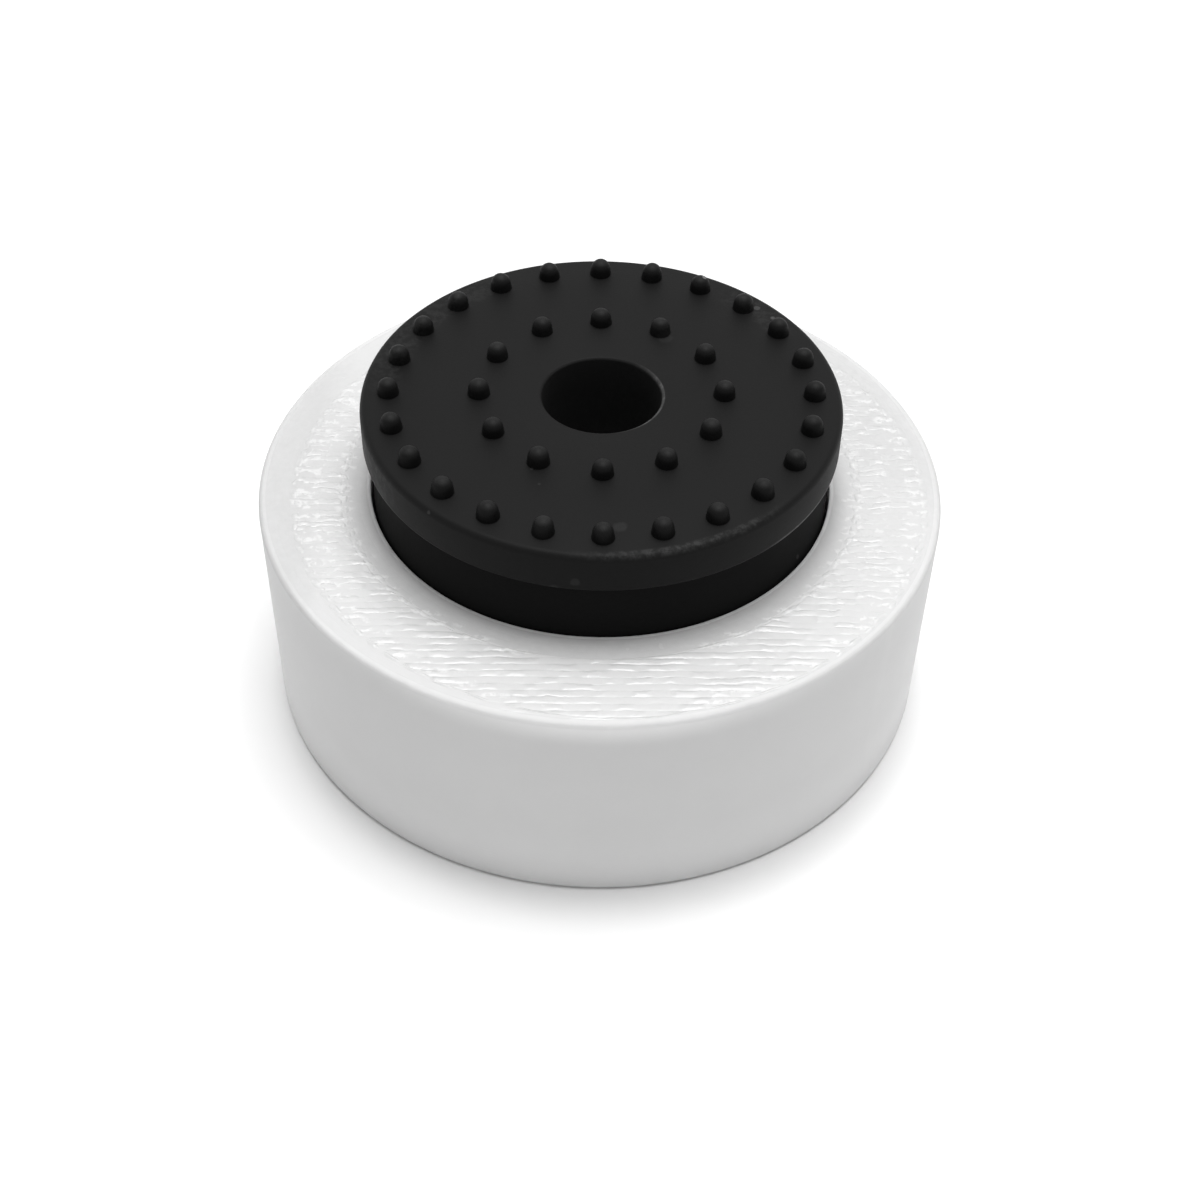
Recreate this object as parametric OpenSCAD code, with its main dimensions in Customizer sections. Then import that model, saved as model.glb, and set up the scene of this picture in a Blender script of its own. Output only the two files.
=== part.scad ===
// Soft round foot with a studded face, seated in a round pocket in the top of a printed base.
// Millimetres, +Z up. The flat underside of the base lies on z = 0 and the shared axis is Z.

/* [Printed base] */
// Outer diameter of the base
base_d = 35; // [25:0.5:60]
// Height of the base from its underside to its top face
base_h = 12; // [8:0.5:30]
// Radius of the round along the top outer edge
base_top_round = 0.25; // [0.1:0.05:1.5]
// Width of the bevel along the bottom outer edge
base_bottom_bevel = 0.3; // [0.1:0.1:1]

/* [Pocket] */
// Depth of the pocket below the top face
pocket_depth = 3; // [1:0.25:6]
// Free gap all round between the plug of the foot and the pocket wall
pocket_clearance = 0.15; // [0.05:0.05:0.4]

/* [Foot] */
// Diameter of the studded disc
disc_d = 24; // [16:0.5:50]
// Thickness of the studded disc
disc_t = 2.2; // [1:0.1:5]
// Radius of the round along the top edge of the disc
disc_top_round = 0.35; // [0.1:0.05:0.8]
// Radius of the round along the bottom edge of the disc
disc_bottom_round = 0.3; // [0.1:0.05:0.8]
// Height of the neck between the base face and the disc
neck_h = 3; // [1:0.1:8]
// Diameter of the neck where it meets the underside of the disc
neck_top_d = 20.6; // [12:0.1:40]
// Diameter of the plug in the pocket, also the widest part of the neck
plug_d = 23.3; // [14:0.1:48]
// Width of the bevel along the lower edge of the plug
plug_bevel = 0.4; // [0.1:0.1:1]

/* [Centre hole] */
// Diameter of the hole down the middle of the foot
hole_d = 6; // [3:0.5:12]
// Radius of the round where the hole meets the studded face
hole_round = 0.15; // [0.1:0.05:0.8]

/* [Studs] */
// Number of studs in the outer ring
outer_studs = 24; // [8:1:36]
// Distance from the edge of the disc in to the middle of the outer studs
outer_stud_inset = 1.4; // [0.8:0.1:4]
// Number of studs in the inner ring
inner_studs = 12; // [4:1:24]
// Distance from the wall of the hole out to the middle of the inner studs
inner_stud_inset = 3.1; // [1:0.1:6]
// Diameter of a stud where it meets the face
stud_d = 1.16; // [0.6:0.02:3]
// Diameter of a stud where its dome begins
stud_dome_d = 1.06; // [0.5:0.02:2.8]
// Height of the drafted wall of a stud, from the face to its dome
stud_wall_h = 0.3; // [0.1:0.02:1]
// Height of the dome of a stud, from its wall to its tip
stud_dome_h = 0.55; // [0.1:0.02:1.5]

/* [Hidden] */
base_r = base_d / 2;
plug_r = plug_d / 2;
pocket_r = plug_r + pocket_clearance;
pocket_z = base_h - pocket_depth;
disc_r = disc_d / 2;
disc_z = base_h + neck_h;
face_z = disc_z + disc_t;
neck_top_r = neck_top_d / 2;
hole_r = hole_d / 2;
outer_ring_r = disc_r - outer_stud_inset;
inner_ring_r = hole_r + inner_stud_inset;
stud_r = stud_d / 2;
stud_dome_r = stud_dome_d / 2;
stud_sink = 0.2;
stud_dome_steps = 3;
first_stud_turn = -90;
round_steps = 4;
body_fn = 96;
stud_fn = 16;

// Points of an arc about c from angle a0 to angle a1
function arc(c, r, a0, a1) = [
    for (i = [0 : round_steps])
        let (a = a0 + (a1 - a0) * i / round_steps)
        [c[0] + r * cos(a), c[1] + r * sin(a)]
];

// Half section of the base: flat underside, upright side, open pocket in the top
base_section = concat(
    [
        [0, 0],
        [base_r - base_bottom_bevel, 0],
        [base_r, base_bottom_bevel]
    ],
    arc([base_r - base_top_round, base_h - base_top_round], base_top_round, 0, 90),
    [
        [pocket_r, base_h],
        [pocket_r, pocket_z],
        [0, pocket_z]
    ]
);

// Half section of the foot: plug, tapered neck, thick disc and the hole with its rounded mouth
foot_section = concat(
    [
        [hole_r, pocket_z],
        [plug_r - plug_bevel, pocket_z],
        [plug_r, pocket_z + plug_bevel],
        [plug_r, base_h],
        [neck_top_r, disc_z]
    ],
    arc([disc_r - disc_bottom_round, disc_z + disc_bottom_round], disc_bottom_round, -90, 0),
    arc([disc_r - disc_top_round, face_z - disc_top_round], disc_top_round, 0, 90),
    arc([hole_r + hole_round, face_z - hole_round], hole_round, 90, 180)
);

// Half section of one stud: a root sunk into the face, a drafted wall and a tall dome
stud_section = concat(
    [
        [0, -stud_sink],
        [stud_r, -stud_sink],
        [stud_r, 0]
    ],
    [
        for (i = [0 : stud_dome_steps])
            let (a = 90 * i / stud_dome_steps)
            [stud_dome_r * cos(a), stud_wall_h + stud_dome_h * sin(a)]
    ]
);

module stud() {
    rotate_extrude($fn = stud_fn)
        polygon(stud_section);
}

module stud_ring(count, ring_r) {
    for (i = [0 : count - 1])
        rotate([0, 0, first_stud_turn + i * 360 / count])
            translate([ring_r, 0, face_z])
                stud();
}

// The printed base is one solid with a round pocket for the plug of the foot
module printed_base() {
    color([0.93, 0.93, 0.92])
        rotate_extrude($fn = body_fn)
            polygon(base_section);
}

// The moulded foot is one solid: plug, neck, disc and two rings of studs
module rubber_foot() {
    color([0.09, 0.09, 0.09])
        union() {
            rotate_extrude($fn = body_fn)
                polygon(foot_section);
            stud_ring(outer_studs, outer_ring_r);
            stud_ring(inner_studs, inner_ring_r);
        }
}

printed_base();
rubber_foot();
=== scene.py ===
import math
import random
from types import SimpleNamespace

import bmesh
import bpy
from mathutils import Matrix, Vector


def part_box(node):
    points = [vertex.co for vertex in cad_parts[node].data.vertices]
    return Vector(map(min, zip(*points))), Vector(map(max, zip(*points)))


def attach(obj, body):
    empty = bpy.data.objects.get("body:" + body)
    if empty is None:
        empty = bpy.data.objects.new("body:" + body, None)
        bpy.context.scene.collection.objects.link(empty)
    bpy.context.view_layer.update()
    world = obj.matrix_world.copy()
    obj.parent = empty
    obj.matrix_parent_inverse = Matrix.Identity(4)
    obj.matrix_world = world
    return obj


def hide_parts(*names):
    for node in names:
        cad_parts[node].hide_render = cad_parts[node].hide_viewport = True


bl_info = {
    "name": "Studded rubber foot in a printed base",
    "version": (1, 0, 0),
    "blender": (4, 5, 0),
    "location": "View3D > Sidebar > Foot",
    "description": "A moulded rubber foot with two rings of studs, seated in a printed round base",
    "category": "Object",
}

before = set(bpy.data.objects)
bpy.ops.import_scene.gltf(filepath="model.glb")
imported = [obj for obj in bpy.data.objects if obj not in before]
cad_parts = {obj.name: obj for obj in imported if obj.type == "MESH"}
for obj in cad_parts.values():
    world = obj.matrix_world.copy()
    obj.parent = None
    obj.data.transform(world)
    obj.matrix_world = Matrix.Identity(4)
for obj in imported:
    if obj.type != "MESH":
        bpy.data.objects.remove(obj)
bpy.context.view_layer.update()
BASE_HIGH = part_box("printed_base")[1]
FOOT_LOW, FOOT_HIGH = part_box("rubber_foot")
MM = 0.001
FULL_TURN = 2 * math.pi
WHITE = (1, 1, 1, 1)
SIDES = 256       # flat sides of each large round
STUD_SIDES = 24   # flat sides of a stud
NEAR = 1e-5       # how close a face or an edge has to be to the place that it is picked by, in metres


# Sizes and colours that a user would change

def length(name, text, default):
    return bpy.props.FloatProperty(
        name=name, description=text, default=default, min=0.0,
        subtype="DISTANCE", unit="LENGTH", precision=5)


def colour(name, text, default):
    return bpy.props.StringProperty(name=name, description=text + ", sRGB hex", default=default)


def count(name, text, default):
    return bpy.props.IntProperty(name=name, description=text, default=default, min=3)


def amount(name, text, default):
    return bpy.props.FloatProperty(name=name, description=text, default=default, min=0.0)


class PrintedBaseSizes(bpy.types.PropertyGroup):
    radius: length("Radius", "Outer radius of the printed base", BASE_HIGH.x)
    height: length("Height", "Height of the base's top face", BASE_HIGH.z)
    top_round: length("Top round", "Round along the top outer edge", 0.25 * MM)
    bottom_bevel: length("Bottom bevel", "Bevel along the bottom outer edge", 0.3 * MM)
    pocket_radius: length("Pocket radius", "Radius of the pocket that holds the plug", 11.8 * MM)
    pocket_depth: length("Pocket depth", "Depth of the pocket", 3.0 * MM)
    pocket_bevel: length("Pocket bevel", "Bevel along the pocket's edge", 0.08 * MM)
    road: length("Road", "Spacing of the extruded roads on the top face", 0.42 * MM)
    layer: length("Layer", "Height of a printed layer", 0.2 * MM)
    inner_rings: length("Inner rings", "Outer radius of the rings of road round the pocket", 12.95 * MM)
    outer_rings: length("Outer rings", "Radius of the round that the straight roads fill", 16.3 * MM)
    plastic: colour("Plastic", "Colour of the printed plastic", "#DEDEDE")
    # shaded is the colour that painted shade darkens the plastic towards: in the valleys, on the side and on
    # parts of the top
    shaded: colour("Shaded", "Colour of the plastic in the valleys between roads", "#C6C6C6")
    # lit is the colour of painted light: a glow under the front of the rim, a highlight on the pocket's
    # edge, glints at the roads' turned ends and bounce light at the foot
    lit: colour("Lit", "Colour of the plastic where light comes through it or it is scraped", "#FAFAFA")


class RubberFootSizes(bpy.types.PropertyGroup):
    disc_radius: length("Disc radius", "Radius of the studded disc", FOOT_HIGH.x)
    face_height: length("Face height", "Height of the studded face", 17.2 * MM)
    disc_thickness: length("Disc thickness", "Thickness of the studded disc", 2.2 * MM)
    top_round: length("Top round", "Round along the top edge of the disc", 0.35 * MM)
    bottom_round: length("Bottom round", "Round along the bottom edge of the disc", 0.3 * MM)
    neck_top: length("Neck top", "Radius of the neck under the disc", 10.3 * MM)
    plug_radius: length("Plug radius", "Radius of the plug in the pocket", 11.65 * MM)
    plug_bevel: length("Plug bevel", "Bevel along the lower edge of the plug", 0.4 * MM)
    hole_radius: length("Hole radius", "Radius of the centre hole", 3.0 * MM)
    hole_round: length("Hole round", "Round where the hole meets the studded face", 0.15 * MM)
    outer_ring: length("Outer ring", "Radius of the outer ring of studs", 10.6 * MM)
    inner_ring: length("Inner ring", "Radius of the inner ring of studs", 6.1 * MM)
    outer_count: count("Outer studs", "Studs in the outer ring", 24)
    inner_count: count("Inner studs", "Studs in the inner ring", 12)
    stud_radius: length("Stud radius", "Radius of a stud where it meets the face", 0.58 * MM)
    stud_dome_radius: length("Stud dome radius", "Radius of a stud where its dome begins", 0.53 * MM)
    stud_wall: length("Stud wall", "Height of a stud's drafted wall", 0.30 * MM)
    stud_dome: length("Stud dome", "Height of a stud's dome above its wall", 0.55 * MM)
    stud_root: length("Stud root", "How deep a stud's root is sunk into the face", 0.12 * MM)
    rubber: colour("Rubber", "Colour of the moulded rubber", "#121212")
    deep: colour("Deep", "Colour of the rubber in its darkest grain", "#080808")
    # painted shade on the studs' walls
    walls: colour("Stud walls", "Colour of the studs' walls", "#040404")
    # painted light on the hole's wall, which lies in shade
    bore: colour("Bore", "Colour of the hole's wall", "#1C1C1C")
    # painted highlight on the studs' tips
    tips: colour("Tips", "Colour of the studs' rubbed tips", "#343434")
    # the pale colour of scuffs and dust, and of painted highlights along the disc's lower edge and the
    # hole's mouth
    scuffs_dust_and_highlights: colour("Worn", "Colour of scuffs and dust", "#787878")


class StageSettings(bpy.types.PropertyGroup):
    floor: colour("Floor", "Colour of the floor", "#FFFFFF")
    lens: amount("Lens", "Focal length on a 36 mm wide sensor, in mm", 55.11)
    sky: amount("Sky", "Strength of the even light from all round", 0.27)
    softbox: amount("Softbox", "Power of the softbox overhead, in watts", 12.9)
    bulb: amount("Bulb", "Power of the bare lamp that makes the small glints, in watts", 2.0)


# Small helpers

def linear(code):
    """sRGB hex to a linear colour with alpha."""
    values = [int(code[i:i + 2], 16) / 255 for i in (1, 3, 5)]
    return tuple(v / 12.92 if v <= 0.04045 else ((v + 0.055) / 1.055) ** 2.4 for v in values) + (1.0,)


def deselect():
    if bpy.context.object and bpy.context.object.mode != "OBJECT":
        bpy.ops.object.mode_set(mode="OBJECT")
    bpy.ops.object.select_all(action="DESELECT")


def pick(obj, kind, test):
    """In edit mode, selects the faces or edges of obj whose own test is true."""
    bpy.ops.mesh.select_mode(type=kind)
    bpy.ops.mesh.select_all(action="DESELECT")
    shape = bmesh.from_edit_mesh(obj.data)
    chosen = 0
    for part in (shape.faces if kind == "FACE" else shape.edges):
        hit = bool(test(part))
        part.select_set(hit)
        chosen += hit
    shape.select_flush_mode()
    bmesh.update_edit_mesh(obj.data)
    if not chosen:
        raise RuntimeError(f"{obj.name}: nothing to select")


def flat_at(z, up):
    """A test for the flat face at height z that looks up or down."""
    def test(f):
        looks = abs(f.normal.z) > 0.99 and (f.normal.z > 0) == up
        return looks and abs(f.calc_center_median().z - z) < NEAR
    return test


def edge_at(radius, z):
    """A test for the edges of the circle of that radius at height z."""
    def test(e):
        return all(abs(v.co.z - z) < NEAR and abs(v.co.xy.length - radius) < 2 * NEAR for v in e.verts)
    return test


def disc_at(z, up, radius):
    """A test for the round face at height z that is no larger than that radius."""
    flat = flat_at(z, up)

    def test(f):
        return flat(f) and len(f.verts) == SIDES and f.calc_area() < 1.01 * math.pi * radius ** 2
    return test


def inset(radius, new_radius):
    """Insets the selected round face from radius to new_radius, measured square to its flat sides."""
    bpy.ops.mesh.inset(thickness=(radius - new_radius) * math.cos(math.pi / SIDES))


def grow(step, radius, new_radius):
    """Extrudes the selected face upwards by step and scales it about the axis from radius to new_radius."""
    bpy.ops.mesh.extrude_region_move(TRANSFORM_OT_translate={"value": (0, 0, step)})
    share = new_radius / radius
    bpy.ops.transform.resize(value=(share, share, 1), center_override=(0, 0, 0))


def bevel(obj, radius, z, size, steps):
    """Rounds or bevels the edge of the circle of that radius at height z."""
    pick(obj, "EDGE", edge_at(radius, z))
    bpy.ops.mesh.bevel(offset=size, segments=steps, affect="EDGES")


def settle(obj, angle=32):
    """Puts the object's place into its mesh, points its faces outwards and shades it smooth by angle."""
    deselect()
    obj.select_set(True)
    bpy.context.view_layer.objects.active = obj
    bpy.ops.object.transform_apply(location=True, rotation=True, scale=True)
    bpy.ops.object.mode_set(mode="EDIT")
    bpy.ops.mesh.select_all(action="SELECT")
    bpy.ops.mesh.remove_doubles(threshold=1e-7)
    bpy.ops.mesh.normals_make_consistent(inside=False)
    bpy.ops.object.mode_set(mode="OBJECT")
    bpy.ops.object.shade_smooth_by_angle(angle=math.radians(angle))
    deselect()


def add(tree, kind, *inputs, out=0, **settings):
    """Adds a node with its settings, links or sets its inputs, and gives one output, or the node if it has
    none. The kind is a node's, an operation of Math, or SMOOTHSTEP, which is a smooth step of Map Range. The
    inputs come in order, or in a dict by socket. In Mix, 2 and 3 are numbers, and 6 and 7 are colours."""
    if kind == "SMOOTHSTEP":
        settings["interpolation_type"] = kind
        kind = "ShaderNodeMapRange"
    elif not kind.startswith("ShaderNode"):
        settings["operation"] = kind
        kind = "ShaderNodeMath"
    made = tree.nodes.new(kind)
    for key, value in settings.items():
        setattr(made, key, value)
    by_socket = inputs[0] if inputs and isinstance(inputs[0], dict) else dict(enumerate(inputs))
    for socket, value in by_socket.items():
        if isinstance(value, bpy.types.NodeSocket):
            tree.links.new(value, made.inputs[socket])
        else:
            made.inputs[socket].default_value = value
    return made.outputs[out] if made.outputs else made


def blank(name):
    """A new material with an empty node tree."""
    made = bpy.data.materials.new(name)
    made.use_nodes = True
    made.node_tree.nodes.clear()
    return made, made.node_tree


def across(t, x, y):
    """The length of the flat vector x, y."""
    flat = add(t, "ShaderNodeCombineXYZ", x, y)
    return add(t, "ShaderNodeVectorMath", flat, out="Value", operation="LENGTH")


def places(t):
    """Object coordinates in millimetres, then their three axes, then the distance from the Z axis."""
    place = add(t, "ShaderNodeTexCoord", out="Object")
    mm = add(t, "ShaderNodeMapping", {"Vector": place, "Scale": (1000, 1000, 1000)})
    x, y, z = add(t, "ShaderNodeSeparateXYZ", mm).node.outputs
    return mm, x, y, z, across(t, x, y)


# The printed base's material

FIELD_RIGHT = 0.45    # mm that the round of straight roads lies to the right of the axis
FIELD_FRONT = 0.7     # mm that it lies to the front
RINGS_FRONT = 0.35    # mm that the rings round the pocket lie to the front
SEAM = 0.90           # bearing of the layers' seam from the front, in radians
ROAD_RELIEF = 0.06    # mm of relief for a height of one
LONG_WAY = 9.0        # mm that keeps a road that misses the pocket's rings from ending at them


def road_layout(t, mm, x, y, reach, sizes):
    """How the roads lie on the top face. Rings follow the rim and the pocket, and straight roads along X
    fill a round between them, wavier at the sides. They lie in pairs, each of which ends in a small bend at
    the rings, where the nozzle turned back."""
    road, edge = sizes.road / MM, sizes.radius / MM
    outer, inner = sizes.outer_rings / MM, sizes.inner_rings / MM
    aside = add(t, "SUBTRACT", x, FIELD_RIGHT)
    nearer = add(t, "ADD", y, FIELD_FRONT)
    ahead = add(t, "ADD", y, RINGS_FRONT)
    fill, about = across(t, aside, nearer), across(t, x, ahead)
    in_outer, in_inner = add(t, "GREATER_THAN", fill, outer), add(t, "LESS_THAN", about, inner)
    in_rings = add(t, "MAXIMUM", in_outer, in_inner)
    bearing = add(t, "ARCTAN2", x, add(t, "MULTIPLY", y, -1.0))
    from_middle = add(t, "ABSOLUTE", x)
    sideways = add(t, "DIVIDE", from_middle, reach)

    # straight roads are numbered along Y, and rings inwards from the rim
    wander = add(t, "ShaderNodeTexNoise", {"Vector": mm, "Scale": 0.35, "Detail": 2.0})
    uneven = add(t, "ShaderNodeTexNoise", {"Vector": mm, "Scale": 1.2, "Detail": 3.0})
    wavy = add(t, "MULTIPLY", uneven, add(t, "SMOOTHSTEP", sideways, 0.55, 0.95, 0.1, 0.55))
    wandering = add(t, "MULTIPLY_ADD", wander, 0.22, add(t, "ADD", y, wavy))
    straight = add(t, "DIVIDE", wandering, road)
    ringed = add(t, "DIVIDE", add(t, "SUBTRACT", edge, reach), road)
    ring_number = add(t, "ADD", add(t, "FLOOR", ringed), 90.0)
    number = add(t, "ShaderNodeMix", {0: in_rings, 2: add(t, "FLOOR", straight), 3: ring_number})
    along = add(t, "ShaderNodeMix", {0: in_rings, 2: x, 3: add(t, "MULTIPLY", bearing, reach)})

    def half_chord(radius, off):
        """Half the width of a circle at a distance off its middle."""
        square = add(t, "SUBTRACT", radius * radius, add(t, "MULTIPLY", off, off))
        return add(t, "SQRT", add(t, "MAXIMUM", square, 0.0))

    # the nearer of a straight road's two ends: the outer rings, or the inner ones where it meets them
    to_out = add(t, "SUBTRACT", half_chord(outer, nearer), add(t, "ABSOLUTE", aside))
    misses = add(t, "GREATER_THAN", add(t, "ABSOLUTE", ahead), inner)
    to_pocket = add(t, "SUBTRACT", from_middle, half_chord(inner, ahead))
    to_in = add(t, "ADD", to_pocket, add(t, "MULTIPLY", misses, LONG_WAY))
    nearest = add(t, "ADD", add(t, "MINIMUM", to_out, to_in), 0.25)
    to_end = add(t, "MULTIPLY_ADD", uneven, -0.5, nearest)

    # which two roads make a pair changes from one end to the other, as the nozzle goes to and fro
    turns = add(t, "ADD", add(t, "GREATER_THAN", x, 0.0), add(t, "LESS_THAN", to_in, to_out))
    pair = add(t, "FRACT", add(t, "MULTIPLY", add(t, "ADD", straight, turns), 0.5))

    # near its end a pair bends round the point between its two roads
    short = add(t, "MAXIMUM", add(t, "SUBTRACT", 1.0, add(t, "DIVIDE", to_end, road)), 0.0)
    apart = add(t, "MULTIPLY_ADD", uneven, 0.5, add(t, "MULTIPLY_ADD", pair, 2.0, -1.25))
    apart_squared = add(t, "MULTIPLY", apart, apart)
    bend = add(t, "SQRT", add(t, "ADD", add(t, "MULTIPLY", short, short), apart_squared))
    share = add(t, "ShaderNodeMix", {
        0: in_rings, 2: add(t, "MINIMUM", bend, 1.0), 3: add(t, "FRACT", ringed)})
    return SimpleNamespace(
        fill=fill, about=about, in_outer=in_outer, in_inner=in_inner, in_rings=in_rings, bearing=bearing,
        sideways=sideways, uneven=uneven, number=number, along=along, pair=pair, short=short,
        apart_squared=apart_squared, share=share)


def road_height(t, lay):
    """The height of the roads. Each was squeezed more or less along its length, so its crown glints in
    broken streaks. The rings are ironed flatter, and each bend is filled to a small rounded blob."""
    lot = add(t, "ShaderNodeTexWhiteNoise", {"W": lay.number}, noise_dimensions="1D")
    skewed = add(t, "POWER", lay.share, add(t, "MULTIPLY_ADD", lot, 0.7, 0.65))
    ridge = add(t, "POWER", add(t, "SINE", add(t, "MULTIPLY", skewed, math.pi)), 0.7)
    far_apart = add(t, "MULTIPLY", lay.number, 5.3)
    lane = add(t, "ShaderNodeCombineXYZ", add(t, "MULTIPLY", lay.along, 0.7), far_apart)
    squeeze = add(t, "ShaderNodeTexNoise", {"Vector": lane, "Scale": 1.0, "Detail": 1.6, "Roughness": 0.5})
    calm = add(t, "MULTIPLY_ADD", add(t, "MULTIPLY", lay.sideways, lay.sideways), -0.3, 1.0)
    swell = add(t, "MULTIPLY", add(t, "SMOOTHSTEP", squeeze, 0.42, 0.61), calm)
    ironed = add(t, "MULTIPLY", swell, add(t, "MULTIPLY_ADD", lay.in_outer, 0.14, 0.08))
    strong = add(t, "ShaderNodeMix", {0: lay.in_rings, 2: add(t, "ADD", swell, 0.1), 3: ironed})
    crown = add(t, "MULTIPLY", ridge, strong)

    off_middle = add(t, "SUBTRACT", lay.short, 0.45)
    lengthways = add(t, "MULTIPLY", add(t, "MULTIPLY", off_middle, off_middle), 4.0)
    spread = add(t, "MULTIPLY_ADD", lay.apart_squared, 1.6, lengthways)
    dome = add(t, "MAXIMUM", add(t, "SUBTRACT", 1.0, spread), 0.0)
    blob = add(t, "MULTIPLY", dome, add(t, "MULTIPLY_ADD", lay.uneven, 0.9, 0.3))
    bending = add(t, "SMOOTHSTEP", lay.short, 0.0, 0.35)
    at_end = add(t, "MULTIPLY", bending, add(t, "SUBTRACT", 1.0, lay.in_rings))
    crown = add(t, "ShaderNodeMix", {0: at_end, 2: crown, 3: blob})
    stepped = add(t, "MULTIPLY_ADD", lot, add(t, "MULTIPLY_ADD", lay.in_rings, -0.15, 0.2), crown)
    return add(t, "MULTIPLY_ADD", lay.uneven, 0.4, stepped)


def turned_end_glints(t, lay, fleck, sizes):
    """Painted glints at the roads' turned ends, as pale flecks in three bands: by the outer rings, out in
    the field, and by the inner rings. Each band begins some share of the way to the side."""
    outer, inner = sizes.outer_rings / MM, sizes.inner_rings / MM
    bands = None
    for middle, distance, beyond, half, pale in (
        (outer - 0.6, lay.fill, 0.2, 0.6, 1.0),
        (inner + 1.6, lay.about, 0.8, 0.4, 0.8),
        (inner + 0.2, lay.about, 0.2, 0.6, 1.0),
    ):
        bent = add(t, "MULTIPLY_ADD", lay.uneven, 0.8, add(t, "SUBTRACT", distance, 0.4))
        off = add(t, "ABSOLUTE", add(t, "SUBTRACT", bent, middle))
        near = add(t, "SMOOTHSTEP", off, half, half * 0.4, 0.0, pale)
        near = add(t, "MULTIPLY", near, add(t, "SMOOTHSTEP", lay.sideways, beyond, beyond + 0.12))
        bands = near if bands is None else add(t, "MAXIMUM", bands, near)
    turn = add(t, "MULTIPLY", add(t, "MULTIPLY_ADD", lay.uneven, 0.9, lay.pair), FULL_TURN)
    beat = add(t, "SMOOTHSTEP", add(t, "COSINE", turn), -0.1, 0.9)
    return add(t, "MULTIPLY", add(t, "MULTIPLY", bands, beat), add(t, "SMOOTHSTEP", fleck, 0.42, 0.58))


def painted_shade_places(t, lay, x, y, reach, turned, sizes):
    """Painted shade on the top face: at the far left and the right, along the rim away from the front, where
    it damps the rim's highlight, and on the rings by the pocket, most of all in front, as the shadow of the
    foot's disc."""
    edge, inner = sizes.radius / MM, sizes.inner_rings / MM
    # painted shade at the far left and towards the right
    left = add(t, "SMOOTHSTEP", x, -12.5, -15.5, 0.0, 0.5)
    right = add(t, "SMOOTHSTEP", add(t, "ADD", x, y), 8.0, 20.0, 0.0, 0.4)
    # painted shade along the rim's round, away from the front
    rim = add(t, "SMOOTHSTEP", reach, edge - 0.25, edge - 0.15)
    along_rim = add(t, "MULTIPLY", rim, add(t, "SMOOTHSTEP", turned, 0.3, 0.9, 0.0, 0.4))
    # painted shadow of the foot's disc on the rings by the pocket, strongest in front
    in_front = add(t, "MULTIPLY", lay.in_inner, add(t, "SMOOTHSTEP", turned, 1.3, 0.5, 0.3, 1.0))
    last_rings = add(t, "SMOOTHSTEP", lay.about, inner - 1.3, inner - 0.3, 0.0, 0.6)
    by_pocket = add(t, "MULTIPLY", in_front, last_rings)
    return add(t, "MAXIMUM", add(t, "ADD", add(t, "ADD", left, right), along_rim), by_pocket)


def painted_light_places(t, lay, z, reach, turned, on_top, fleck, sizes):
    """Painted light on the plastic: a painted glow on the side just under the front of the rim, a painted
    highlight along the pocket's edge, painted glints where the roads' turned ends show as flecks, and
    painted bounce light that makes the first layers bright."""
    top, pocket = sizes.height / MM, sizes.pocket_radius / MM
    # painted glow on the side just under the front of the rim
    under_rim = add(t, "SMOOTHSTEP", z, top - 1.5, top - 0.3)
    glow = add(t, "MULTIPLY", under_rim, add(t, "SMOOTHSTEP", turned, 0.75, 0.0))
    glow = add(t, "MULTIPLY", glow, add(t, "SMOOTHSTEP", z, top - 0.05, top - 0.3, 0.0, 0.55))
    # painted highlight along the pocket's edge
    lip = add(t, "MULTIPLY", on_top, add(t, "SMOOTHSTEP", reach, pocket + 0.24, pocket + 0.14))
    # painted glints at the roads' turned ends
    ends = add(t, "MULTIPLY", add(t, "MULTIPLY", turned_end_glints(t, lay, fleck, sizes), on_top), 0.5)
    # painted bounce light, paler towards the foot of the side
    bounce_at_bottom = add(t, "SMOOTHSTEP", z, 5.0, 1.0, 0.0, 0.14)
    return add(t, "MAXIMUM", add(t, "MAXIMUM", add(t, "MAXIMUM", glow, lip), ends), bounce_at_bottom)


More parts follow.
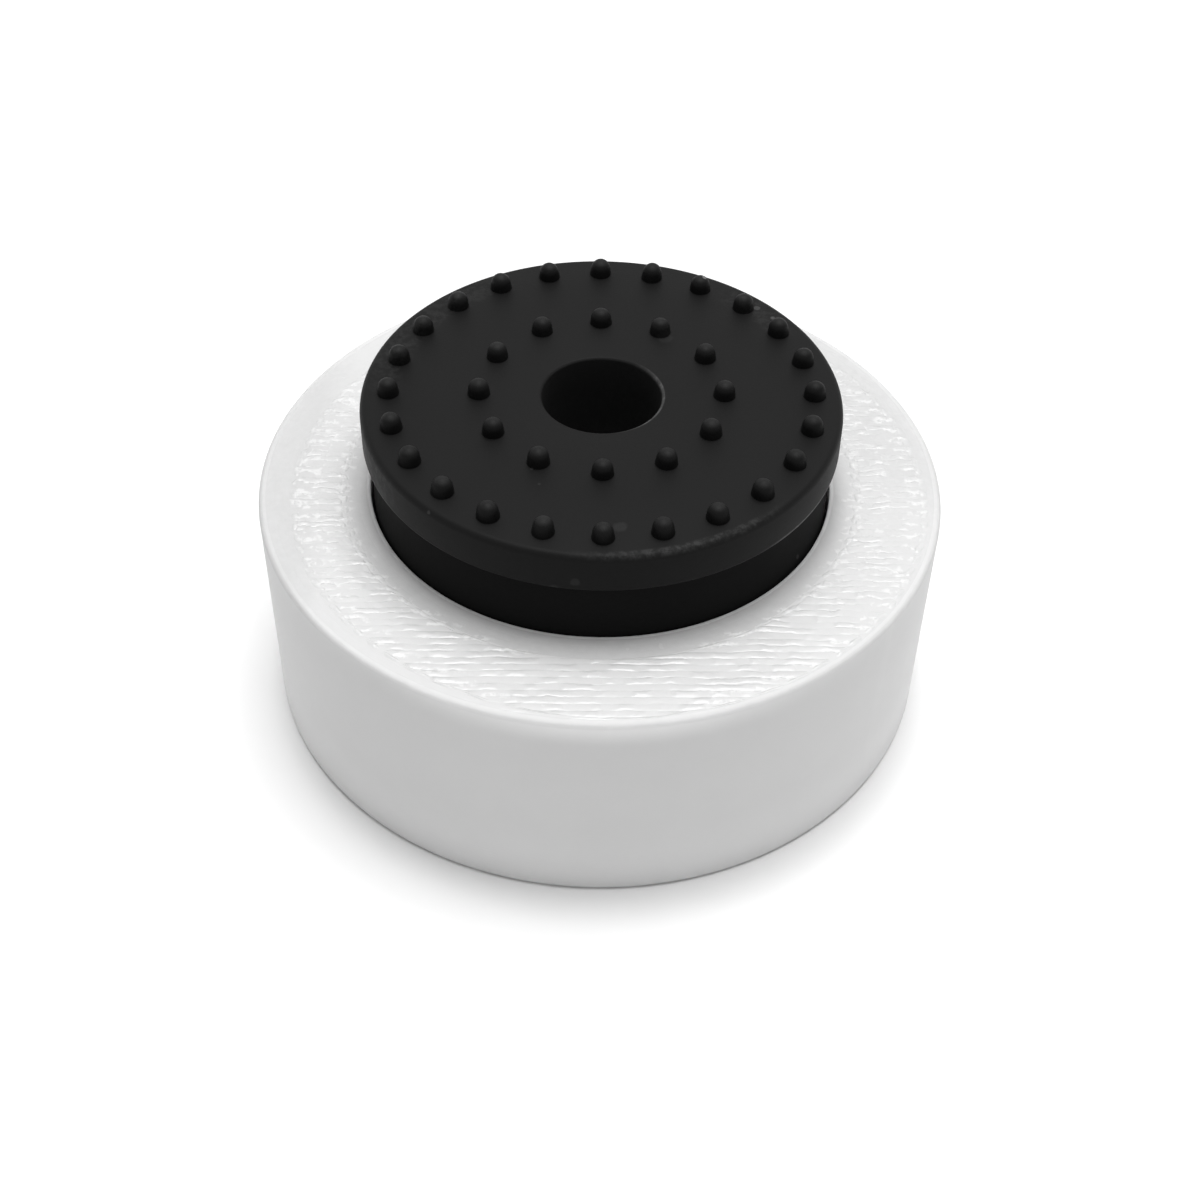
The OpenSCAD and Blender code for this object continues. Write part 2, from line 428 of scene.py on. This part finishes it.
def printed_plastic(sizes):
    """White PLA, laid down in roads by a 0.4 mm nozzle. The top face shows straight roads as fine ridges
    with broken, glossy glints, which double up where the nozzle turned back, there partly as painted glints,
    between smoother rings at the pocket and the rim. The side is satin, with its 0.2 mm layers only just
    felt. Painted shade and painted light are mixed into its colour."""
    made, t = blank("white_pla_printed")
    mm, x, y, z, reach = places(t)
    top, edge, layer = sizes.height / MM, sizes.radius / MM, sizes.layer / MM
    lay = road_layout(t, mm, x, y, reach, sizes)
    patch = add(t, "ShaderNodeTexNoise", {"Vector": mm, "Scale": 0.5, "Detail": 3.0})
    fleck = add(t, "ShaderNodeTexNoise", {"Vector": mm, "Scale": 3.2, "Detail": 2.0})
    turned = add(t, "ABSOLUTE", lay.bearing)
    on_top = add(t, "SMOOTHSTEP", z, top - 0.12, top - 0.03)
    upper = add(t, "SMOOTHSTEP", z, top - 0.3, top - 0.1)

    # layers on the side, and a faint seam where each layer began
    layers = add(t, "SINE", add(t, "MULTIPLY", z, FULL_TURN / layer))
    seam = add(t, "SMOOTHSTEP", add(t, "ABSOLUTE", add(t, "SUBTRACT", lay.bearing, SEAM)), 0.028, 0.006)
    seam = add(t, "MULTIPLY", seam, add(t, "GREATER_THAN", reach, edge - 0.2))
    side_height = add(t, "MULTIPLY_ADD", seam, 0.25, add(t, "MULTIPLY", patch, 0.3))
    side_height = add(t, "MULTIPLY_ADD", layers, 0.02, side_height)
    height = add(t, "ShaderNodeMix", {0: on_top, 2: side_height, 3: road_height(t, lay)})
    relief = add(t, "ShaderNodeBump", {"Height": height, "Strength": 1.0, "Distance": ROAD_RELIEF * MM})

    # painted shade in the valleys between roads; the side is painted paler towards its foot as painted
    # bounce light, so it is darker upwards, and darker to the left as painted shade
    tone = add(t, "MULTIPLY_ADD", height, 0.16, add(t, "SMOOTHSTEP", z, 0.0, 5.0, 0.95, 0.65))
    tone = add(t, "MULTIPLY_ADD", patch, 0.1, tone)
    # the top is painted paler than the side, as painted light from above, with flecks of random tone
    tone = add(t, "MULTIPLY_ADD", on_top, add(t, "MULTIPLY_ADD", fleck, 0.35, 0.15), tone)
    # painted shade on the side towards the left, and on the top face in the places below
    painted_shade_left_side = add(t, "SMOOTHSTEP", x, -4.0, -14.0, 0.0, 0.2)
    painted_shade_on_top = painted_shade_places(t, lay, x, y, reach, turned, sizes)
    tone = add(t, "SUBTRACT", tone, add(t, "ShaderNodeMix", {0: upper, 2: painted_shade_left_side, 3: painted_shade_on_top}))
    # painted light: a glow under the front of the rim, a highlight on the pocket's edge, glints at the
    # roads' turned ends and bounce light at the foot
    pale = painted_light_places(t, lay, z, reach, turned, on_top, fleck, sizes)
    shade = linear(sizes.shaded)
    for mask, code in ((tone, sizes.plastic), (pale, sizes.lit)):
        mixed = {"Factor": mask, 6: shade, 7: linear(code)}
        shade = add(t, "ShaderNodeMix", mixed, out=2, data_type="RGBA")

    # the nozzle smeared the top glossy, all but its rounded rim
    glossy = add(t, "MULTIPLY", on_top, add(t, "SMOOTHSTEP", reach, edge - 0.25, edge - 0.4))
    rim = add(t, "MULTIPLY", upper, add(t, "SMOOTHSTEP", reach, edge - 0.3, edge - 0.2, 0.0, 0.35))
    rough = add(t, "ADD", rim, add(t, "MULTIPLY_ADD", lay.uneven, 0.1, 0.48))
    rough = add(t, "MULTIPLY_ADD", glossy, -0.28, rough)
    shader = add(t, "ShaderNodeBsdfPrincipled", {
        "Base Color": shade, "Roughness": rough, "Normal": relief, "IOR": 1.46,
        "Subsurface Weight": 0.5, "Subsurface Radius": (1.0, 1.0, 1.0), "Subsurface Scale": 1.5 * MM})
    add(t, "ShaderNodeOutputMaterial", shader)
    return made


# The rubber foot's material

GRAIN_RELIEF = 0.006   # mm of relief for a height of one

# Small marks on the rubber: x, y and z of the middle and the reach, in millimetres, and how pale
MARKS = (
    (-8.1, -8.85, 17.1, 0.15, 0.13), (-3.36, -5.8, 17.2, 0.10, 0.06), (-2.99, -6.89, 17.2, 0.10, 0.06),
    (0.77, -9.89, 17.2, 0.40, 0.05), (3.29, 4.76, 17.2, 0.5, 0.04), (8.23, 7.49, 17.15, 0.22, 0.2),
    (9.0, 6.6, 17.1, 0.2, 0.3), (5.5, 9.2, 17.95, 0.16, 0.8), (-2.28, -11.8, 14.95, 0.42, 0.05),
    (-1.27, -11.93, 15.65, 0.28, 0.06), (9.7, -6.4, 12.2, 0.16, 0.12), (6.2, -10.1, 16.6, 0.14, 0.1),
)


def scuffs_dust_and_highlight_places(t, mm, x, y, z, reach, sizes):
    """Where the rubber is paler, and how much: painted highlights along the disc's lower edge and the hole's
    mouth, a pale line along the face's edge, soft patches on the disc's side and face, and small marks of
    dust."""
    face, rim, hole = sizes.face_height / MM, sizes.disc_radius / MM, sizes.hole_radius / MM
    bearing = add(t, "ARCTAN2", y, x)
    ragged = add(t, "ShaderNodeTexNoise", {"Vector": mm, "Scale": 2.6, "Detail": 3.0, "Roughness": 0.7})
    blotch = add(t, "SMOOTHSTEP", ragged, 0.40, 0.66)

    def band(value, middle, half):
        """One near the middle value, falling to nothing half away from it."""
        off = add(t, "ABSOLUTE", add(t, "SUBTRACT", value, middle))
        return add(t, "SMOOTHSTEP", off, half, half * 0.4)

    def arc(first, last):
        """One between two bearings in degrees, counted from +X, with soft ends."""
        return band(bearing, math.radians((first + last) / 2), math.radians((last - first) / 2) / 0.7)

    def line(place, lies_on, arcs, more, least):
        """A pale line where its place and arcs meet what it lies on, with blotches of more over least."""
        there = add(t, "MULTIPLY", place, add(t, "MULTIPLY", arcs, lies_on))
        return add(t, "MULTIPLY", there, add(t, "MULTIPLY_ADD", blotch, more, least))

    on_face = add(t, "SMOOTHSTEP", z, face - 0.3, face - 0.05)
    at_mouth = add(t, "SMOOTHSTEP", z, face - 0.3, face - 0.1)
    near_side = add(t, "SMOOTHSTEP", reach, rim - 0.35, rim - 0.1)
    on_side = add(t, "SMOOTHSTEP", reach, rim - 0.3, rim - 0.05)
    flat_face = add(t, "SMOOTHSTEP", z, face - 0.1, face)
    low_arcs = add(t, "MAXIMUM", arc(-46, -12), add(t, "MULTIPLY", arc(-168, -146), 0.4))
    far_arcs = add(t, "MAXIMUM", arc(120, 176), arc(30, 52))
    scuffs_dust_and_highlights = line(band(reach, rim - 0.22, 0.3), on_face, arc(-92, -50), 0.11, 0.015)
    for place in (
        # painted highlight along the disc's lower edge, most at the front right
        line(band(z, face - 1.97, 0.14), near_side, low_arcs, 0.3, 0.35),
        line(band(z, face - 1.1, 1.2), on_side, arc(-182, -148), 0.12, 0.0),
        line(band(reach, rim - 1.0, 1.1), flat_face, far_arcs, 0.05, 0.0),
        # painted highlight along the hole's mouth, on its right
        line(band(reach, hole + 0.06, 0.12), at_mouth, arc(-62, 40), 0.2, 0.2),
    ):
        scuffs_dust_and_highlights = add(t, "MAXIMUM", scuffs_dust_and_highlights, place)
    for mark_x, mark_y, mark_z, size, pale in MARKS:
        middle = (mark_x, mark_y, mark_z)
        away = add(t, "ShaderNodeVectorMath", mm, middle, out="Value", operation="DISTANCE")
        away = add(t, "MULTIPLY_ADD", ragged, size * 0.9, away)
        scuffs_dust_and_highlights = add(t, "MAXIMUM", scuffs_dust_and_highlights, add(t, "SMOOTHSTEP", away, size * 1.45, size, 0.0, pale))
    return scuffs_dust_and_highlights


def moulded_rubber(sizes):
    """Black rubber, compression moulded in an eroded steel mould. It is matte, with a fine grain and faint
    cloudy tone from bloom. Its colour carries painted shade on the neck and the studs' walls, painted light
    in the bore, and painted highlights on the studs' tips and the hole's mouth; the rim has a paler line,
    and a few specks of dust lie on it."""
    made, t = blank("black_rubber_moulded")
    mm, x, y, z, reach = places(t)
    face, hole = sizes.face_height / MM, sizes.hole_radius / MM
    under_disc = face - sizes.disc_thickness / MM
    grain = add(t, "ShaderNodeTexNoise", {"Vector": mm, "Scale": 7.0, "Detail": 4.0, "Roughness": 0.6})
    cloud = add(t, "ShaderNodeTexNoise", {"Vector": mm, "Scale": 0.35, "Detail": 3.0})

    # painted shade darkens the neck under the disc and the studs' walls; painted light makes the bore paler,
    # and a painted highlight the studs' tips
    neck = add(t, "SMOOTHSTEP", z, under_disc + 0.05, under_disc - 0.1)
    above_face = add(t, "SMOOTHSTEP", z, face + 0.01, face + 0.05)
    # painted shade on the studs' walls below their domes, like a contact shadow
    walls = add(t, "MULTIPLY", above_face, add(t, "SMOOTHSTEP", z, face + 0.85, face + 0.48, 0.0, 0.2))
    # painted light on the hole's wall
    bore = add(t, "SMOOTHSTEP", reach, hole + 0.08, hole + 0.02)
    # painted highlight on the top of each stud's dome, of random strength
    tip_highlight = add(t, "SMOOTHSTEP", z, face + 0.60, face + 0.76)
    tips = add(t, "MULTIPLY", tip_highlight, add(t, "MULTIPLY", cloud, 0.55))
    scuffs_dust_and_highlights = scuffs_dust_and_highlight_places(t, mm, x, y, z, reach, sizes)
    tone = add(t, "MULTIPLY_ADD", grain, 0.35, add(t, "MULTIPLY", cloud, 0.5))
    tone = add(t, "MULTIPLY_ADD", neck, -0.2, tone)
    shade = linear(sizes.deep)
    colours = sizes.rubber, sizes.walls, sizes.bore, sizes.tips, sizes.scuffs_dust_and_highlights
    for mask, code in zip((tone, walls, bore, tips, scuffs_dust_and_highlights), colours):
        mixed = {"Factor": mask, 6: shade, 7: linear(code)}
        shade = add(t, "ShaderNodeMix", mixed, out=2, data_type="RGBA")

    height = add(t, "MULTIPLY_ADD", cloud, 0.6, grain)
    relief = add(t, "ShaderNodeBump", {"Height": height, "Strength": 1.0, "Distance": GRAIN_RELIEF * MM})
    rough = add(t, "MULTIPLY_ADD", neck, 0.12, add(t, "MULTIPLY_ADD", cloud, 0.12, 0.5))
    shader = add(t, "ShaderNodeBsdfPrincipled", {
        "Base Color": shade, "Roughness": rough, "Normal": relief, "IOR": 1.5, "Specular IOR Level": 0.1})
    add(t, "ShaderNodeOutputMaterial", shader)
    return made


# The stage's materials

def clean_floor(code):
    """A white painted table top. It is matte, and only the object's own shadow shows on it. From 0.10 m to
    0.25 m away from the object it fades to the plain white of the background, so no far edge shows."""
    made, t = blank("white_table_top")
    place = add(t, "ShaderNodeTexCoord", out="Object")
    cloud = add(t, "ShaderNodeTexNoise", {"Vector": place, "Scale": 4.0})
    rough = add(t, "MULTIPLY_ADD", cloud, 0.05, 0.85)
    shader = add(t, "ShaderNodeBsdfPrincipled", {
        "Roughness": rough, "Base Color": linear(code), "Specular IOR Level": 0.0})
    away = add(t, "ShaderNodeVectorMath", place, out="Value", operation="LENGTH")
    seen = add(t, "ShaderNodeLightPath", out="Is Camera Ray")
    far = add(t, "MULTIPLY", add(t, "SMOOTHSTEP", away, 0.10, 0.25), seen)
    white = add(t, "ShaderNodeEmission", WHITE, 1.0)
    add(t, "ShaderNodeOutputMaterial", add(t, "ShaderNodeMixShader", far, shader, white))
    return made


def soft_sky(strength):
    """Even light from all round, which the camera and reflections see as plain white."""
    world = bpy.data.worlds.new("soft_sky")
    world.use_nodes = True
    t = world.node_tree
    t.nodes.clear()
    paths = add(t, "ShaderNodeLightPath").node.outputs
    seen = add(t, "MAXIMUM", paths["Is Camera Ray"], paths["Is Glossy Ray"])
    seen = add(t, "MAXIMUM", seen, paths["Is Transmission Ray"])
    even = add(t, "ShaderNodeBackground", WHITE, strength)
    white = add(t, "ShaderNodeBackground", WHITE, 1.0)
    add(t, "ShaderNodeOutputWorld", add(t, "ShaderNodeMixShader", seen, even, white))
    return world


# Pieces

class OBJECT_OT_printed_base(bpy.types.Operator):
    """Builds the printed base with its pocket, rounded rim and bevelled foot"""
    bl_idname = "object.printed_base"
    bl_label = "Printed base"

    def execute(self, context):
        s = context.scene.printed_base
        deselect()
        bpy.ops.mesh.primitive_cylinder_add(
            vertices=SIDES, radius=s.radius, depth=s.height, location=(0, 0, s.height / 2))
        base = context.object
        base.name = base.data.name = "base_printed"
        bpy.ops.object.transform_apply(location=True)
        bpy.ops.object.mode_set(mode="EDIT")
        pick(base, "FACE", flat_at(s.height, True))
        inset(s.radius, s.pocket_radius)
        pick(base, "FACE", disc_at(s.height, True, s.pocket_radius))
        bpy.ops.mesh.extrude_region_move(TRANSFORM_OT_translate={"value": (0, 0, -s.pocket_depth)})
        bevel(base, s.radius, s.height, s.top_round, 6)
        bevel(base, s.radius, 0.0, s.bottom_bevel, 2)
        bevel(base, s.pocket_radius, s.height, s.pocket_bevel, 2)
        bpy.ops.object.mode_set(mode="OBJECT")
        settle(base)
        base.data.materials.append(printed_plastic(s))
        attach(base, "root")
        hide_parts("printed_base")
        return {"FINISHED"}


class OBJECT_OT_rubber_foot(bpy.types.Operator):
    """Builds the moulded foot: disc, tapered neck, plug, hole and both rings of studs"""
    bl_idname = "object.rubber_foot"
    bl_label = "Rubber foot"

    # A stud's dome rises in equal turns, in degrees, and ends flat a touch under the CAD's tip. Each copy is
    # slimmer, lower and more aslant than the next by chance, within these shares and degrees.
    DOME_STEPS = 6
    DOME_TURN = 14
    DOME_SHARE = 0.99
    SLIMMEST = 0.95
    LOWEST = 0.93
    LEAN = 2.5

    def execute(self, context):
        s = context.scene.rubber_foot
        foot = self.body(context, s)
        studs = [foot]
        model = self.stud(context, s)
        for ring, number in ((s.outer_ring, s.outer_count), (s.inner_ring, s.inner_count)):
            for i in range(number):
                studs.append(self.placed(model, ring, i, number, s.face_height))
        bpy.data.objects.remove(model)
        deselect()
        for piece in studs:
            piece.select_set(True)
        context.view_layer.objects.active = foot
        bpy.ops.object.join()
        foot.data.materials.clear()
        foot.data.materials.append(moulded_rubber(s))
        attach(foot, "root")
        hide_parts("rubber_foot")
        return {"FINISHED"}

    def body(self, context, s):
        """The disc with its neck, plug and through hole, all but the studs."""
        underside = s.face_height - s.disc_thickness
        foot_z, seat_z = FOOT_LOW.z, BASE_HIGH.z
        deselect()
        bpy.ops.mesh.primitive_cylinder_add(
            vertices=SIDES, radius=s.disc_radius, depth=s.disc_thickness,
            location=(0, 0, s.face_height - s.disc_thickness / 2))
        foot = context.object
        foot.name = foot.data.name = "foot_moulded"
        bpy.ops.object.transform_apply(location=True)
        bpy.ops.object.mode_set(mode="EDIT")
        pick(foot, "FACE", flat_at(underside, False))
        inset(s.disc_radius, s.neck_top)
        pick(foot, "FACE", disc_at(underside, False, s.neck_top))
        grow(seat_z - underside, s.neck_top, s.plug_radius)
        grow(foot_z - seat_z, s.plug_radius, s.plug_radius)
        inset(s.plug_radius, s.hole_radius)
        pick(foot, "FACE", flat_at(s.face_height, True))
        inset(s.disc_radius, s.hole_radius)
        top, bottom = disc_at(s.face_height, True, s.hole_radius), disc_at(foot_z, False, s.hole_radius)
        pick(foot, "FACE", lambda f: top(f) or bottom(f))
        bpy.ops.mesh.delete(type="FACE")
        rims = edge_at(s.hole_radius, s.face_height), edge_at(s.hole_radius, foot_z)
        pick(foot, "EDGE", lambda e: rims[0](e) or rims[1](e))
        bpy.ops.mesh.bridge_edge_loops()
        bevel(foot, s.hole_radius, s.face_height, s.hole_round, 4)
        bevel(foot, s.disc_radius, s.face_height, s.top_round, 5)
        bevel(foot, s.disc_radius, underside, s.bottom_round, 5)
        bevel(foot, s.plug_radius, foot_z, s.plug_bevel, 2)
        settle(foot)
        return foot

    def stud(self, context, s):
        """One stud at the origin: a sunk root, a drafted wall and a tall dome."""
        steps = [(s.stud_radius, -s.stud_root), (s.stud_radius, 0.0), (s.stud_dome_radius, s.stud_wall)]
        for i in range(1, self.DOME_STEPS + 1):
            turn = math.radians(self.DOME_TURN * i)
            rise = self.DOME_SHARE * s.stud_dome * math.sin(turn)
            steps.append((s.stud_dome_radius * math.cos(turn), s.stud_wall + rise))
        deselect()
        bpy.ops.mesh.primitive_circle_add(
            vertices=STUD_SIDES, radius=s.stud_radius, fill_type="NGON", location=(0, 0, 0))
        stud = context.object
        bpy.ops.object.mode_set(mode="EDIT")
        bpy.ops.mesh.select_all(action="SELECT")
        bpy.ops.transform.translate(value=(0, 0, -s.stud_root))
        for (below, low), (above, high) in zip(steps, steps[1:]):
            grow(high - low, below, above)
        bpy.ops.object.mode_set(mode="OBJECT")
        settle(stud, 80)
        return stud

    def placed(self, model, ring, i, number, z):
        """A copy of the stud with its own mesh, turned to its place in its ring."""
        dice = random.Random(1000 * number + i)
        copy = model.copy()
        copy.data = model.data.copy()
        bpy.context.scene.collection.objects.link(copy)
        slim_x, slim_y = dice.uniform(self.SLIMMEST, 1.0), dice.uniform(self.SLIMMEST, 1.0)
        slim = Matrix.Diagonal((slim_x, slim_y, dice.uniform(self.LOWEST, 1.0), 1))
        lean_x, lean_y = (math.radians(dice.uniform(-self.LEAN, self.LEAN)) for _ in range(2))
        lean = Matrix.Rotation(lean_x, 4, "X") @ Matrix.Rotation(lean_y, 4, "Y")
        turn = Matrix.Rotation(FULL_TURN * i / number - math.pi / 2, 4, "Z")
        copy.data.transform(turn @ Matrix.Translation((ring, 0, z)) @ lean @ slim)
        return copy


# Stage

FLOOR_WIDTH = 3.0
LAMP_AIM = Vector((0, 0, 12)) * MM

# From a fit to both pieces' outlines in the photograph
CAMERA_PLACE = Vector((-1.2562, -72.718, 73.3093)) * MM
CAMERA_AIM = Vector((0.1061, -0.002, 2.9795)) * MM
CAMERA_ROLL = math.radians(1.0864)


class OBJECT_OT_foot_stage(bpy.types.Operator):
    """Adds the floor, the soft light and the camera at the photograph's angle"""
    bl_idname = "object.foot_stage"
    bl_label = "Stage"

    def execute(self, context):
        s = context.scene.foot_stage
        deselect()
        bpy.ops.mesh.primitive_plane_add(size=FLOOR_WIDTH, location=(0, 0, 0))
        floor = context.object
        floor.name = "floor"
        floor.data.materials.append(clean_floor(s.floor))
        context.scene.world = soft_sky(s.sky)
        self.lamp(context, "softbox_overhead", (0.12, 0.17, 1.20), 0.95, s.softbox)
        self.lamp(context, "bulb_overhead", (-0.05, 0.12, 1.10), 0.2, s.bulb)
        self.camera(context, s)
        context.scene.view_settings.view_transform = "Standard"
        return {"FINISHED"}

    def lamp(self, context, name, place, size, power):
        """A round lamp that faces the object."""
        deselect()
        bpy.ops.object.light_add(type="AREA", location=place)
        lamp = context.object
        lamp.name = name
        lamp.data.shape = "DISK"
        lamp.data.size = size
        lamp.data.energy = power
        lamp.rotation_euler = (LAMP_AIM - Vector(place)).to_track_quat("-Z", "Y").to_euler()

    def camera(self, context, s):
        """The camera at the photograph's angle and framing."""
        deselect()
        bpy.ops.object.camera_add(location=CAMERA_PLACE)
        camera = context.object
        camera.name = "camera"
        look = (CAMERA_AIM - CAMERA_PLACE).to_track_quat("-Z", "Y").to_matrix().to_4x4()
        roll = Matrix.Rotation(CAMERA_ROLL, 4, "Z")
        camera.matrix_world = Matrix.Translation(CAMERA_PLACE) @ look @ roll
        camera.data.sensor_width = 36.0
        camera.data.lens = s.lens
        camera.data.clip_start = 0.001
        camera.data.clip_end = 10.0
        context.scene.camera = camera


# Panel and registration

GROUPS = {"printed_base": PrintedBaseSizes, "rubber_foot": RubberFootSizes, "foot_stage": StageSettings}


class VIEW3D_PT_foot(bpy.types.Panel):
    """Lists the pieces of the foot and its stage"""
    bl_label = "Foot in a printed base"
    bl_idname = "VIEW3D_PT_foot"
    bl_space_type = "VIEW_3D"
    bl_region_type = "UI"
    bl_category = "Foot"

    def draw(self, context):
        for owner in GROUPS:
            box = self.layout.box()
            group = getattr(context.scene, owner)
            for name in group.bl_rna.properties.keys():
                if name not in ("rna_type", "name"):
                    box.prop(group, name)
            box.operator("object." + owner)


CLASSES = (
    *GROUPS.values(),
    OBJECT_OT_printed_base,
    OBJECT_OT_rubber_foot,
    OBJECT_OT_foot_stage,
    VIEW3D_PT_foot,
)


def register():
    for kind in CLASSES:
        bpy.utils.register_class(kind)
    for owner, group in GROUPS.items():
        setattr(bpy.types.Scene, owner, bpy.props.PointerProperty(type=group))


def unregister():
    for owner in GROUPS:
        delattr(bpy.types.Scene, owner)
    for kind in reversed(CLASSES):
        bpy.utils.unregister_class(kind)


def main():
    register()
    bpy.ops.object.printed_base()
    bpy.ops.object.rubber_foot()
    bpy.ops.object.foot_stage()


if __name__ == "__main__":
    main()
